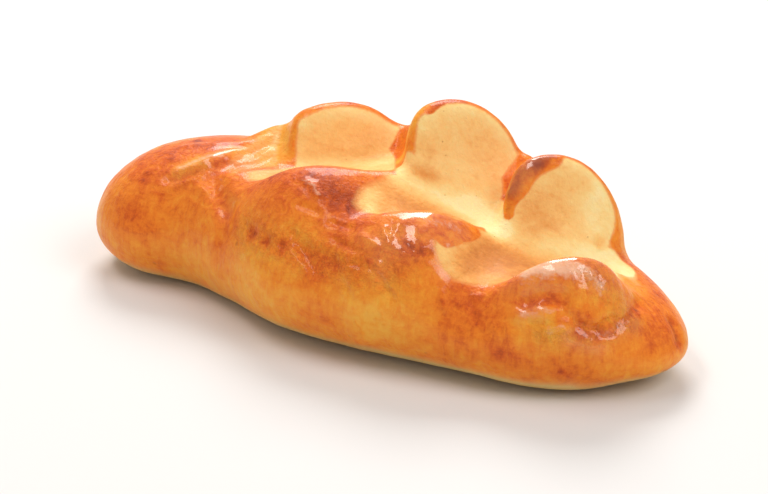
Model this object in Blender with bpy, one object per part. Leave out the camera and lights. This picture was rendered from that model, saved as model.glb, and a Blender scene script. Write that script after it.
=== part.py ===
"""Long brioche bun, snipped three times across the top, as one solid.

The bun is described by a field: a number that is negative inside the dough, zero
on its surface and positive outside, close to the distance in millimetres. Humps
are joined to the field and wedge-shaped snips are cut out of it. A coarse loft is
then remeshed, settled onto the zero surface and thinned to a light mesh.
"""

import math

import bmesh
import bpy
import numpy as np

MM = 0.001

# Body, in millimetres: x runs from the blunt end to the narrow end, y away from the front flank
BLUNT_LENGTH = 77.5
NARROW_LENGTH = 80.0
BLUNT_POWER = 6.0
NARROW_POWER = 3.5
SECTION_CENTRE = 0.36
BASE_DROP = 4.0
BASE_EDGE = 3.0
BODY_STATIONS = (-80.0, -60.0, -44.0, -28.0, -10.0, 8.0, 30.0, 50.0, 65.0, 80.0)
FRONT_WIDTHS = (27.5, 25.5, 20.7, 25.2, 32.8, 33.8, 31.0, 30.3, 26.5, 28.0)
BACK_WIDTHS = (26.0, 28.5, 31.0, 33.0, 34.0, 35.0, 33.0, 30.0, 27.0, 24.0)
TOP_HEIGHTS = (30.0, 32.0, 33.0, 34.0, 36.0, 37.0, 33.0, 28.0, 25.5, 23.0)

# Humps: (centre, radii, turn of the long axis in degrees, blend radius)
BACK_HUMPS = (
    ((-20.1, 13.4, 24.0), (19.6, 12.5, 19.7), 42.0, 9.0),
    ((11.8, 13.4, 27.0), (18.0, 12.3, 23.6), 43.0, 9.0),
    ((40.3, 11.1, 20.0), (16.8, 12.0, 23.7), 38.0, 3.5),
)
# Stretched dough to the left of each lobe
SHOULDERS = (
    ((-32.0, 9.0, 26.0), (7.5, 7.5, 11.8), 42.0, 6.0),
    ((-4.0, 23.0, 26.0), (7.0, 7.0, 13.0), 43.0, 5.0),
    ((26.0, 23.0, 22.0), (5.5, 5.5, 15.5), 43.0, 3.0),
)
FRONT_HUMPS = (
    ((-8.0, -12.0, 24.0), (15.0, 11.0, 13.5), 15.0, 8.0),
    ((23.0, -17.0, 21.0), (15.0, 11.0, 13.0), 25.0, 8.0),
    ((56.0, -12.6, 17.3), (15.0, 11.0, 16.0), 20.0, 8.0),
)

# Snips: corners of each opening (left, front, right, back), and the lean of its walls.
# The first is only a shallow pull beside the first lobe.
SNIPS = (
    ((-43.0, 2.0, 33.0), (-35.0, -8.0, 29.0), (-26.0, 0.0, 30.5), (-38.0, 18.0, 36.0)),
    ((-26.0, 0.0, 30.0), (-31.0, -14.0, 30.5), (7.0, 0.0, 35.5), (-7.0, 22.0, 33.0)),
    ((7.0, 0.0, 35.8), (3.0, -22.5, 34.0), (32.2, -0.6, 26.2), (26.0, 21.6, 34.0)),
    ((34.0, 0.0, 25.5), (34.5, -29.5, 24.5), (66.0, 2.0, 21.5), (55.0, 17.0, 24.5)),
)
FACE_LEAN = 20.0
RIDGE_LEAN = 30.0
NEXT_LEAN = 6.0
HEEL_LEAN = 35.0
FACE_BULGE = 1.2
FACE_SPREAD = 12.0
FACE_EDGE = 4.0
SOFT_EDGE = 8.0
RIDGE_EDGE = 4.0

# Relief of the crust: (way of the fold, half-width, depth); a negative depth is a raised fold
FOLDS = (
    (((-38.2, -6.0, 31.1), (-39.1, -10.9, 29.2), (-35.5, -15.2, 27.5), (-29.7, -19.2, 25.1)), 2.4, 1.1),
    (((-29.7, -19.2, 25.1), (-27.8, -22.3, 21.5), (-28.5, -23.0, 15.0)), 2.2, 0.7),
    (((-5.2, -27.4, 26.3), (-1.2, -29.2, 24.4), (3.7, -31.2, 21.9)), 2.0, 0.9),
    (((-1.4, -28.1, 25.2), (3.9, -29.0, 24.6), (9.7, -29.7, 24.7)), 1.8, 0.8),
    (((11.5, -30.0, 25.2), (15.6, -32.9, 18.0), (15.7, -31.6, 7.8)), 2.6, -0.8),
    (((17.2, -30.5, 24.8), (20.1, -32.6, 16.6)), 2.2, -0.6),
    (((52.6, -22.6, 24.2), (55.8, -21.0, 26.2), (60.0, -19.0, 26.2)), 2.0, 1.3),
    (((53.3, -24.2, 21.9), (57.0, -23.1, 22.9), (60.2, -20.9, 23.3)), 1.8, -0.9),
    (((60.9, -20.7, 21.6), (63.5, -19.8, 18.8), (66.6, -17.4, 17.4), (68.7, -14.8, 17.7)), 2.0, 1.3),
    (((68.7, -14.8, 17.7), (69.8, -11.9, 18.7), (70.0, -7.3, 19.2), (70.0, -3.5, 19.3)), 1.8, 0.9),
    (((58.8, -24.3, 17.9), (60.8, -23.0, 18.8), (62.0, -21.3, 19.2)), 1.6, -0.8),
    (((62.7, -20.2, 17.6), (64.8, -19.4, 15.6), (67.5, -17.5, 14.4)), 1.3, -0.6),
    (((64.8, -13.9, 27.1), (66.5, -14.9, 23.6)), 1.5, 0.5),
    (((66.5, -6.8, 24.4), (68.9, -8.2, 21.7)), 1.5, 0.5),
    (((75.9, 2.2, 14.4), (77.5, 1.3, 13.0), (78.8, 0.2, 11.3)), 1.4, 0.9),
)
DENTS = (
    ((-17.6, -26.1, 24.6), 1.6, 0.7),
    ((-12.2, -28.1, 24.5), 1.6, 0.7),
    ((-7.5, -28.9, 24.9), 1.6, 0.6),
    ((11.9, -15.5, 32.4), 2.0, 0.5),
    ((22.3, -23.4, 32.6), 2.0, 0.6),
)

# Meshing
LOFT_RINGS = 220
LOFT_SIDES = 200
RAY_STEPS = 60
REMESH_SIZE = 1.0 * MM
SETTLE_STEPS = 4
TRIANGLES = 9600

CRUST_COLOUR = (0.62, 0.24, 0.05, 1.0)
CRUST_ROUGHNESS = 0.35


def smooth_curve(x, stations, values):
    """Cubic curve through the stations, with the slopes of its neighbours."""
    stations = np.asarray(stations)
    values = np.asarray(values)
    slopes = np.gradient(values, stations)
    i = np.clip(np.searchsorted(stations, x) - 1, 0, len(stations) - 2)
    span = stations[i + 1] - stations[i]
    t = np.clip((x - stations[i]) / span, 0.0, 1.0)
    return (
        values[i] * (1 + 2 * t) * (1 - t) ** 2
        + values[i + 1] * t * t * (3 - 2 * t)
        + span * (slopes[i] * t * (1 - t) ** 2 - slopes[i + 1] * t * t * (1 - t))
    )


def joined(a, b, radius):
    """Union of two fields, with a fillet."""
    h = np.clip(0.5 + 0.5 * (b - a) / radius, 0.0, 1.0)
    return b + (a - b) * h - radius * h * (1 - h)


def within(a, b, radius):
    """Intersection of two fields, with a rounded edge."""
    return -joined(-a, -b, radius)


def body(x, y, z):
    """The plain loaf, before humps and snips."""
    power = np.where(x < 0, BLUNT_POWER, NARROW_POWER)
    length = np.where(x < 0, BLUNT_LENGTH, NARROW_LENGTH)
    reach = np.abs(x) / length
    width = np.where(
        y < 0,
        smooth_curve(x, BODY_STATIONS, FRONT_WIDTHS),
        smooth_curve(x, BODY_STATIONS, BACK_WIDTHS),
    )
    top = smooth_curve(x, BODY_STATIONS, TOP_HEIGHTS)
    centre = SECTION_CENTRE * top
    height = np.where(z > centre, top - centre, centre + BASE_DROP)
    rise = z - centre
    size = np.sqrt(reach**power + (y / width) ** 2 + (rise / height) ** 2)
    size = np.maximum(size, 0.3)
    slope_x = power * reach ** (power - 1) / (2 * length)
    slope = np.sqrt(slope_x**2 + (y / width**2) ** 2 + (rise / height**2) ** 2) / size
    return (size - 1) / np.maximum(slope, 1e-3)


def hump(x, y, z, centre, radii, turn):
    """An ellipsoid, turned about the upright."""
    cos, sin = math.cos(math.radians(turn)), math.sin(math.radians(turn))
    dx, dy, dz = x - centre[0], y - centre[1], z - centre[2]
    u = (dx * cos + dy * sin) / radii[0]
    v = (dy * cos - dx * sin) / radii[1]
    w = dz / radii[2]
    size = np.sqrt(u * u + v * v + w * w)
    slope = np.sqrt((u / radii[0]) ** 2 + (v / radii[1]) ** 2 + (w / radii[2]) ** 2)
    return size * (size - 1) / np.maximum(slope, 1e-6)


def wall(x, y, z, start, end, lean):
    """Distance outside a snip's wall that runs from start to end and leans back.

    The open side is on the right of the way from start to end.
    """
    start = np.asarray(start)
    along = np.asarray(end) - start
    along = along / np.linalg.norm(along)
    inward = np.array([along[1], -along[0], 0.0])
    inward = inward / np.linalg.norm(inward)
    lean = math.radians(lean)
    normal = inward * math.cos(lean) + np.array([0.0, 0.0, math.sin(lean)])
    normal = normal - along * (normal @ along)
    normal = normal / np.linalg.norm(normal)
    return -((x - start[0]) * normal[0] + (y - start[1]) * normal[1] + (z - start[2]) * normal[2])


def floor(x, y, z, left, front, right):
    """Distance below the sloping floor through three corners of a snip."""
    left, front, right = np.asarray(left), np.asarray(front), np.asarray(right)
    normal = np.cross(right - left, front - left)
    normal = normal / np.linalg.norm(normal)
    if normal[2] < 0:
        normal = -normal
    return -((x - left[0]) * normal[0] + (y - left[1]) * normal[1] + (z - left[2]) * normal[2])


def snip(x, y, z, left, front, right, back):
    """The open wedge of one snip: negative inside it."""
    face = wall(x, y, z, left, back, FACE_LEAN)
    middle = (np.asarray(left) + np.asarray(back)) / 2
    away = ((x - middle[0]) ** 2 + (y - middle[1]) ** 2) / FACE_SPREAD**2
    face = face + FACE_BULGE * np.exp(-away)
    ridge = wall(x, y, z, right, front, RIDGE_LEAN)
    following = wall(x, y, z, back, right, NEXT_LEAN)
    heel = wall(x, y, z, front, left, HEEL_LEAN)
    pocket = within(face, floor(x, y, z, left, front, right), SOFT_EDGE)
    sides = within(ridge, within(following, heel, RIDGE_EDGE), RIDGE_EDGE)
    return within(pocket, sides, RIDGE_EDGE)


def uncut(x, y, z):
    """The loaf with its humps, before the snips open it."""
    shape = body(x, y, z)
    for centre, radii, turn, blend in BACK_HUMPS + SHOULDERS + FRONT_HUMPS:
        shape = joined(shape, hump(x, y, z, centre, radii, turn), blend)
    return shape


def smooth_bun(x, y, z):
    """The bun without its small folds."""
    shape = uncut(x, y, z)
    for corners in SNIPS:
        shape = within(shape, -snip(x, y, z, *corners), FACE_EDGE)
    return within(shape, -z, BASE_EDGE)


def from_segment(x, y, z, start, end):
    """Distance from the straight line between two points."""
    start = np.asarray(start)
    along = np.asarray(end) - start
    dx, dy, dz = x - start[0], y - start[1], z - start[2]
    t = np.clip((dx * along[0] + dy * along[1] + dz * along[2]) / (along @ along), 0.0, 1.0)
    return np.sqrt((dx - t * along[0]) ** 2 + (dy - t * along[1]) ** 2 + (dz - t * along[2]) ** 2)


def relief(x, y, z):
    """How far the folds and dents lie under the smooth surface."""
    depth = np.zeros_like(x)
    for way, half_width, deepest in FOLDS:
        away = from_segment(x, y, z, way[0], way[1])
        for start, end in zip(way[1:-1], way[2:]):
            away = np.minimum(away, from_segment(x, y, z, start, end))
        depth = depth + deepest * np.exp(-((away / half_width) ** 2))
    for centre, half_width, deepest in DENTS:
        away = from_segment(x, y, z, centre, np.asarray(centre) + 0.01)
        depth = depth + deepest * np.exp(-((away / half_width) ** 2))
    return depth


def bun(x, y, z):
    """The whole bun's field."""
    return smooth_bun(x, y, z) + relief(x, y, z)


def rays():
    """Start and direction of each ray of the loft, as arrays of rings by sides."""
    latitude = np.linspace(-math.pi / 2, math.pi / 2, LOFT_RINGS + 2)[1:-1, None]
    angle = np.linspace(0, 2 * math.pi, LOFT_SIDES, endpoint=False)[None, :]
    flat = np.ones_like(angle)
    start = np.stack(
        [
            0.85 * NARROW_LENGTH * np.sin(latitude) * flat,
            np.zeros_like(latitude * angle),
            np.full_like(latitude * angle, 13.0),
        ],
        axis=-1,
    )
    way = np.stack(
        [
            0.25 * NARROW_LENGTH * np.sin(latitude) * flat,
            50.0 * np.cos(latitude) * np.cos(angle),
            50.0 * np.cos(latitude) * np.sin(angle),
        ],
        axis=-1,
    )
    return start.reshape(-1, 3), way.reshape(-1, 3)


def first_hits(start, way):
    """Outermost point of the surface along each ray, found from outside inwards."""
    high = np.full(len(start), 1.4)
    low = np.zeros(len(start))
    found = np.zeros(len(start), bool)
    step = 1.4 / RAY_STEPS
    for t in np.arange(1.4 - step, 0.0, -step):
        points = start + way * t
        inside = (smooth_bun(*points.T) < 0) & ~found
        low[inside] = t
        high[~found & ~inside] = t
        found |= inside
    for _ in range(10):
        middle = (low + high) / 2
        points = start + way * middle[:, None]
        inside = smooth_bun(*points.T) < 0
        low[inside] = middle[inside]
        high[~inside] = middle[~inside]
    return start + way * low[:, None]


def loft():
    """A closed mesh of rings round the bun's axis."""
    start, way = rays()
    points = first_hits(start, way) * MM
    mesh = bpy.data.meshes.new("bun")
    bm = bmesh.new()
    grid = [bm.verts.new(p) for p in points]
    for i in range(LOFT_RINGS - 1):
        for j in range(LOFT_SIDES):
            k = (j + 1) % LOFT_SIDES
            a, b = i * LOFT_SIDES, (i + 1) * LOFT_SIDES
            bm.faces.new((grid[a + j], grid[a + k], grid[b + k], grid[b + j]))
    first = grid[:LOFT_SIDES]
    last = grid[-LOFT_SIDES:]
    bm.faces.new(first[::-1])
    bm.faces.new(last)
    bmesh.ops.triangulate(bm, faces=[f for f in bm.faces if len(f.verts) > 4])
    bmesh.ops.recalc_face_normals(bm, faces=bm.faces)
    bm.to_mesh(mesh)
    bm.free()
    return mesh


def evaluated(obj):
    """A plain mesh of the object with its modifiers applied."""
    graph = bpy.context.evaluated_depsgraph_get()
    return bpy.data.meshes.new_from_object(obj.evaluated_get(graph))


def settle(mesh):
    """Moves the vertices along the field's slope until they lie on the surface."""
    points = np.empty(len(mesh.vertices) * 3)
    mesh.vertices.foreach_get("co", points)
    points = points.reshape(-1, 3) / MM
    probe = 0.05
    for _ in range(SETTLE_STEPS):
        value = bun(*points.T)
        slope = np.stack(
            [
                (bun(*(points + probe * axis).T) - value) / probe
                for axis in np.eye(3)
            ],
            axis=1,
        )
        step = value / np.maximum((slope**2).sum(axis=1), 0.2)
        points -= slope * np.clip(step, -0.6, 0.6)[:, None]
    mesh.vertices.foreach_set("co", (points * MM).ravel())
    mesh.update()


def centred(mesh):
    """Puts the origin under the middle of the bun, at the base."""
    points = np.empty(len(mesh.vertices) * 3)
    mesh.vertices.foreach_get("co", points)
    points = points.reshape(-1, 3)
    low, high = points.min(axis=0), points.max(axis=0)
    middle = (low + high) / 2
    points -= (middle[0], middle[1], low[2])
    mesh.vertices.foreach_set("co", points.ravel())
    mesh.update()


def crust_material():
    material = bpy.data.materials.new("crust")
    material.use_nodes = True
    shader = material.node_tree.nodes["Principled BSDF"]
    shader.inputs["Base Color"].default_value = CRUST_COLOUR
    shader.inputs["Roughness"].default_value = CRUST_ROUGHNESS
    return material


def make_bun():
    rough = bpy.data.objects.new("bun", loft())
    bpy.context.scene.collection.objects.link(rough)
    remesh = rough.modifiers.new("even_faces", "REMESH")
    remesh.mode = "VOXEL"
    remesh.voxel_size = REMESH_SIZE
    mesh = evaluated(rough)
    rough.modifiers.clear()
    settle(mesh)
    centred(mesh)
    rough.data = mesh
    thin = rough.modifiers.new("fewer_faces", "DECIMATE")
    mesh.calc_loop_triangles()
    thin.ratio = TRIANGLES / len(mesh.loop_triangles)
    mesh.shade_smooth()
    mesh.materials.append(crust_material())
    return rough


def main():
    for old in list(bpy.data.objects):
        bpy.data.objects.remove(old)
    make_bun()


main()
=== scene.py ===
"""Long glazed brioche bun, snipped along the top, in a plain pale studio."""

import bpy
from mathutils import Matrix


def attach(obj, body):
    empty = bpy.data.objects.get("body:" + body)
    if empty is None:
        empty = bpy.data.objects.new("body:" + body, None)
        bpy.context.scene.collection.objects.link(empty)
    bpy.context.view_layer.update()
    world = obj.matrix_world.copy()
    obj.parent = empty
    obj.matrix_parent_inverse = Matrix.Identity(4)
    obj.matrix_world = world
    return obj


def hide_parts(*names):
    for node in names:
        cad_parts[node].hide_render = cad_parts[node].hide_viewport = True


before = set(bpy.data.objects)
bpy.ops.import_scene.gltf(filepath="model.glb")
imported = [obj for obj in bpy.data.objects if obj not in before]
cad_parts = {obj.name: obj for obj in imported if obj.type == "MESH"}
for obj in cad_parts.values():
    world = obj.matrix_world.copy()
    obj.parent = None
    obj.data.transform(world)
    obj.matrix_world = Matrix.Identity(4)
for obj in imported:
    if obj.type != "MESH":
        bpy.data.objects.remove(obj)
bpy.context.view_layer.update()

import math

import bmesh
import bpy
import numpy as np
from mathutils import Vector

MM = 0.001

# The dough's form, in millimetres.

# Where the middle of the bun lies in the frame that its numbers are given in
MIDDLE = np.array([1.24, 0.53, 0.0])

BLUNT_LENGTH = 77.5
NARROW_LENGTH = 80.0
BLUNT_POWER = 6.0
NARROW_POWER = 3.5
SECTION_CENTRE = 0.36
BASE_DROP = 4.0
BASE_EDGE = 3.0
BODY_STATIONS = (-80.0, -60.0, -44.0, -28.0, -10.0, 8.0, 30.0, 50.0, 65.0, 80.0)
FRONT_WIDTHS = (27.5, 25.5, 20.7, 25.2, 32.8, 33.8, 31.0, 30.3, 26.5, 28.0)
BACK_WIDTHS = (26.0, 28.5, 31.0, 33.0, 34.0, 35.0, 33.0, 30.0, 27.0, 24.0)
TOP_HEIGHTS = (30.0, 32.0, 33.0, 34.0, 36.0, 37.0, 33.0, 28.0, 25.5, 23.0)

# Lobes, the stretched dough beside them, and the crests in front:
# centre, radii, turn of the long axis in degrees, blend radius
HUMPS = (
    ((-20.1, 13.4, 24.0), (19.6, 12.5, 19.7), 42.0, 9.0),
    ((11.8, 13.4, 27.0), (18.0, 12.3, 23.6), 43.0, 9.0),
    ((40.3, 11.1, 20.0), (16.8, 12.0, 23.7), 38.0, 3.5),
    ((-32.0, 9.0, 26.0), (7.5, 7.5, 11.8), 42.0, 6.0),
    ((-4.0, 23.0, 26.0), (7.0, 7.0, 13.0), 43.0, 5.0),
    ((26.0, 23.0, 22.0), (5.5, 5.5, 15.5), 43.0, 3.0),
    ((-8.0, -12.0, 24.0), (15.0, 11.0, 13.5), 15.0, 8.0),
    ((23.0, -17.0, 21.0), (15.0, 11.0, 13.0), 25.0, 8.0),
    ((56.0, -12.6, 17.3), (15.0, 11.0, 16.0), 20.0, 8.0),
)

# Snips: corners of each opening (left, front, right, back)
SNIPS = (
    ((-43.0, 2.0, 33.0), (-35.0, -8.0, 29.0), (-26.0, 0.0, 30.5), (-38.0, 18.0, 36.0)),
    ((-26.0, 0.0, 30.0), (-31.0, -14.0, 30.5), (7.0, 0.0, 35.5), (-7.0, 22.0, 33.0)),
    ((7.0, 0.0, 35.8), (3.0, -22.5, 34.0), (32.2, -0.6, 26.2), (26.0, 21.6, 34.0)),
    ((34.0, 0.0, 25.5), (34.5, -29.5, 24.5), (66.0, 2.0, 21.5), (55.0, 17.0, 24.5)),
)
FACE_LEAN = 20.0
RIDGE_LEAN = 30.0
NEXT_LEAN = 6.0
HEEL_LEAN = 35.0
FACE_BULGE = 1.2
FACE_SPREAD = 12.0
FACE_EDGE = 4.0
SOFT_EDGE = 8.0
RIDGE_EDGE = 4.0

# Folds: way, half-width, depth; a negative depth is a raised fold
FOLDS = (
    (((-38.2, -6.0, 31.1), (-39.1, -10.9, 29.2), (-35.5, -15.2, 27.5), (-29.7, -19.2, 25.1)), 2.4, 1.1),
    (((-29.7, -19.2, 25.1), (-27.8, -22.3, 21.5), (-28.5, -23.0, 15.0)), 2.2, 0.7),
    (((-5.2, -27.4, 26.3), (-1.2, -29.2, 24.4), (3.7, -31.2, 21.9)), 2.0, 0.9),
    (((-1.4, -28.1, 25.2), (3.9, -29.0, 24.6), (9.7, -29.7, 24.7)), 1.8, 0.8),
    (((11.5, -30.0, 25.2), (15.6, -32.9, 18.0), (15.7, -31.6, 7.8)), 2.6, -0.8),
    (((17.2, -30.5, 24.8), (20.1, -32.6, 16.6)), 2.2, -0.6),
    (((53.0, -23.0, 23.2), (56.0, -21.8, 25.0), (60.0, -20.0, 25.2)), 2.0, 1.3),
    (((53.6, -24.8, 20.3), (57.2, -23.9, 21.2), (60.4, -21.7, 21.8)), 1.8, -0.9),
    (((60.9, -20.7, 21.6), (63.5, -19.8, 18.8), (66.6, -17.4, 17.4), (68.7, -14.8, 17.7)), 2.0, 1.3),
    (((68.7, -14.8, 17.7), (69.8, -11.9, 18.7), (70.0, -7.3, 19.2), (70.0, -3.5, 19.3)), 1.8, 0.9),
    (((58.8, -24.3, 17.9), (60.8, -23.0, 18.8), (62.0, -21.3, 19.2)), 1.6, -0.8),
    (((62.7, -20.2, 17.6), (64.8, -19.4, 15.6), (67.5, -17.5, 14.4)), 1.3, -0.6),
    (((64.8, -13.9, 27.1), (66.5, -14.9, 23.6)), 1.5, 0.5),
    (((66.5, -6.8, 24.4), (68.9, -8.2, 21.7)), 1.5, 0.5),
    (((75.9, 2.2, 14.4), (77.5, 1.3, 13.0), (78.8, 0.2, 11.3)), 1.4, 0.9),
    (((-17.6, -26.1, 24.6),), 1.6, 0.7),
    (((-12.2, -28.1, 24.5),), 1.6, 0.7),
    (((-7.5, -28.9, 24.9),), 1.6, 0.6),
    (((11.9, -15.5, 32.4),), 2.0, 0.5),
    (((22.3, -23.4, 32.6),), 2.0, 0.6),
)

# Smallest values that the fields divide by
LEAST_SIZE = 0.3
LEAST_BODY_SLOPE = 1e-3
LEAST_HUMP_SLOPE = 1e-6
LEAST_LENGTH = 1e-6

# The skin: spacing and welding of its mesh, then how it settles on the form, in millimetres
SKIN_VOXEL = 0.62 * MM
WELD_DISTANCE = 0.01 * MM
SETTLE_STEPS = 4
LONGEST_STEP = 0.6
LEAST_SETTLE_SLOPE = 0.2
SLOPE_PROBE = 0.05


def smooth_curve(x, stations, values):
    """Cubic curve through the stations, with the slopes of its neighbours."""
    stations = np.asarray(stations)
    values = np.asarray(values)
    slopes = np.gradient(values, stations)
    i = np.clip(np.searchsorted(stations, x) - 1, 0, len(stations) - 2)
    span = stations[i + 1] - stations[i]
    t = np.clip((x - stations[i]) / span, 0.0, 1.0)
    return (
        values[i] * (1 + 2 * t) * (1 - t) ** 2
        + values[i + 1] * t * t * (3 - 2 * t)
        + span * (slopes[i] * t * (1 - t) ** 2 - slopes[i + 1] * t * t * (1 - t))
    )


def smooth_step(value, low, high):
    t = np.clip((value - low) / (high - low), 0.0, 1.0)
    return t * t * (3 - 2 * t)


def joined(a, b, radius):
    """Union of two fields, with a fillet."""
    h = np.clip(0.5 + 0.5 * (b - a) / radius, 0.0, 1.0)
    return b + (a - b) * h - radius * h * (1 - h)


def within(a, b, radius):
    """Intersection of two fields, with a rounded edge."""
    return -joined(-a, -b, radius)


def body(x, y, z):
    """The plain loaf, before humps and snips."""
    power = np.where(x < 0, BLUNT_POWER, NARROW_POWER)
    length = np.where(x < 0, BLUNT_LENGTH, NARROW_LENGTH)
    reach = np.abs(x) / length
    front = smooth_curve(x, BODY_STATIONS, FRONT_WIDTHS)
    back = smooth_curve(x, BODY_STATIONS, BACK_WIDTHS)
    width = np.where(y < 0, front, back)
    top = smooth_curve(x, BODY_STATIONS, TOP_HEIGHTS)
    centre = SECTION_CENTRE * top
    height = np.where(z > centre, top - centre, centre + BASE_DROP)
    rise = z - centre
    size = np.sqrt(reach**power + (y / width) ** 2 + (rise / height) ** 2)
    size = np.maximum(size, LEAST_SIZE)
    slope_x = power * reach ** (power - 1) / (2 * length)
    slope = np.sqrt(slope_x**2 + (y / width**2) ** 2 + (rise / height**2) ** 2) / size
    return (size - 1) / np.maximum(slope, LEAST_BODY_SLOPE)


def hump(x, y, z, centre, radii, turn):
    """An ellipsoid, turned about the upright."""
    cos, sin = math.cos(math.radians(turn)), math.sin(math.radians(turn))
    dx, dy, dz = x - centre[0], y - centre[1], z - centre[2]
    u = (dx * cos + dy * sin) / radii[0]
    v = (dy * cos - dx * sin) / radii[1]
    w = dz / radii[2]
    size = np.sqrt(u * u + v * v + w * w)
    slope = np.sqrt((u / radii[0]) ** 2 + (v / radii[1]) ** 2 + (w / radii[2]) ** 2)
    return size * (size - 1) / np.maximum(slope, LEAST_HUMP_SLOPE)


def wall(x, y, z, start, end, lean):
    """Distance outside a snip's wall that runs from start to end and leans back."""
    start = np.asarray(start)
    along = np.asarray(end) - start
    along = along / np.linalg.norm(along)
    inward = np.array([along[1], -along[0], 0.0])
    inward = inward / np.linalg.norm(inward)
    lean = math.radians(lean)
    normal = inward * math.cos(lean) + np.array([0.0, 0.0, math.sin(lean)])
    normal = normal - along * (normal @ along)
    normal = normal / np.linalg.norm(normal)
    return -((x - start[0]) * normal[0] + (y - start[1]) * normal[1] + (z - start[2]) * normal[2])


def floor_plane(x, y, z, left, front, right):
    """Distance below the sloping floor through three corners of a snip."""
    left, front, right = np.asarray(left), np.asarray(front), np.asarray(right)
    normal = np.cross(right - left, front - left)
    normal = normal / np.linalg.norm(normal)
    if normal[2] < 0:
        normal = -normal
    return -((x - left[0]) * normal[0] + (y - left[1]) * normal[1] + (z - left[2]) * normal[2])


def snip_sides(x, y, z, left, front, right, back):
    """Distances outside the five sides of a snip: face, floor, ridge, next lobe, heel."""
    face = wall(x, y, z, left, back, FACE_LEAN)
    middle = (np.asarray(left) + np.asarray(back)) / 2
    away = ((x - middle[0]) ** 2 + (y - middle[1]) ** 2) / FACE_SPREAD**2
    face = face + FACE_BULGE * np.exp(-away)
    ridge = wall(x, y, z, right, front, RIDGE_LEAN)
    following = wall(x, y, z, back, right, NEXT_LEAN)
    heel = wall(x, y, z, front, left, HEEL_LEAN)
    return face, floor_plane(x, y, z, left, front, right), ridge, following, heel


def snip(x, y, z, corners):
    """The open wedge of one snip: negative inside it."""
    face, floor, ridge, following, heel = snip_sides(x, y, z, *corners)
    pocket = within(face, floor, SOFT_EDGE)
    sides = within(ridge, within(following, heel, RIDGE_EDGE), RIDGE_EDGE)
    return within(pocket, sides, RIDGE_EDGE)


def uncut(x, y, z):
    """The loaf with its humps, before the snips open it."""
    shape = body(x, y, z)
    for centre, radii, turn, blend in HUMPS:
        shape = joined(shape, hump(x, y, z, centre, radii, turn), blend)
    return shape


def from_segment(x, y, z, start, end):
    """Distance from the straight line between two points."""
    start = np.asarray(start)
    along = np.asarray(end) - start
    dx, dy, dz = x - start[0], y - start[1], z - start[2]
    reach = max(along @ along, LEAST_LENGTH)
    t = np.clip((dx * along[0] + dy * along[1] + dz * along[2]) / reach, 0.0, 1.0)
    return np.sqrt((dx - t * along[0]) ** 2 + (dy - t * along[1]) ** 2 + (dz - t * along[2]) ** 2)


def from_way(x, y, z, way):
    """Distance from a line of points, or from a single point."""
    away = from_segment(x, y, z, way[0], way[min(1, len(way) - 1)])
    for start, end in zip(way[1:-1], way[2:]):
        away = np.minimum(away, from_segment(x, y, z, start, end))
    return away


def brushed(x, y, z, strokes):
    """Sum of soft strokes: each has a way, a half-width and an amount."""
    total = np.zeros_like(x)
    for way, half_width, amount in strokes:
        total = total + amount * np.exp(-((from_way(x, y, z, way) / half_width) ** 2))
    return total


def bun_field(x, y, z):
    shape = uncut(x, y, z)
    for corners in SNIPS:
        shape = within(shape, -snip(x, y, z, corners), FACE_EDGE)
    return within(shape, -z, BASE_EDGE) + brushed(x, y, z, FOLDS)


# Strokes on the skin: way, half-width, amount.

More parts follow.
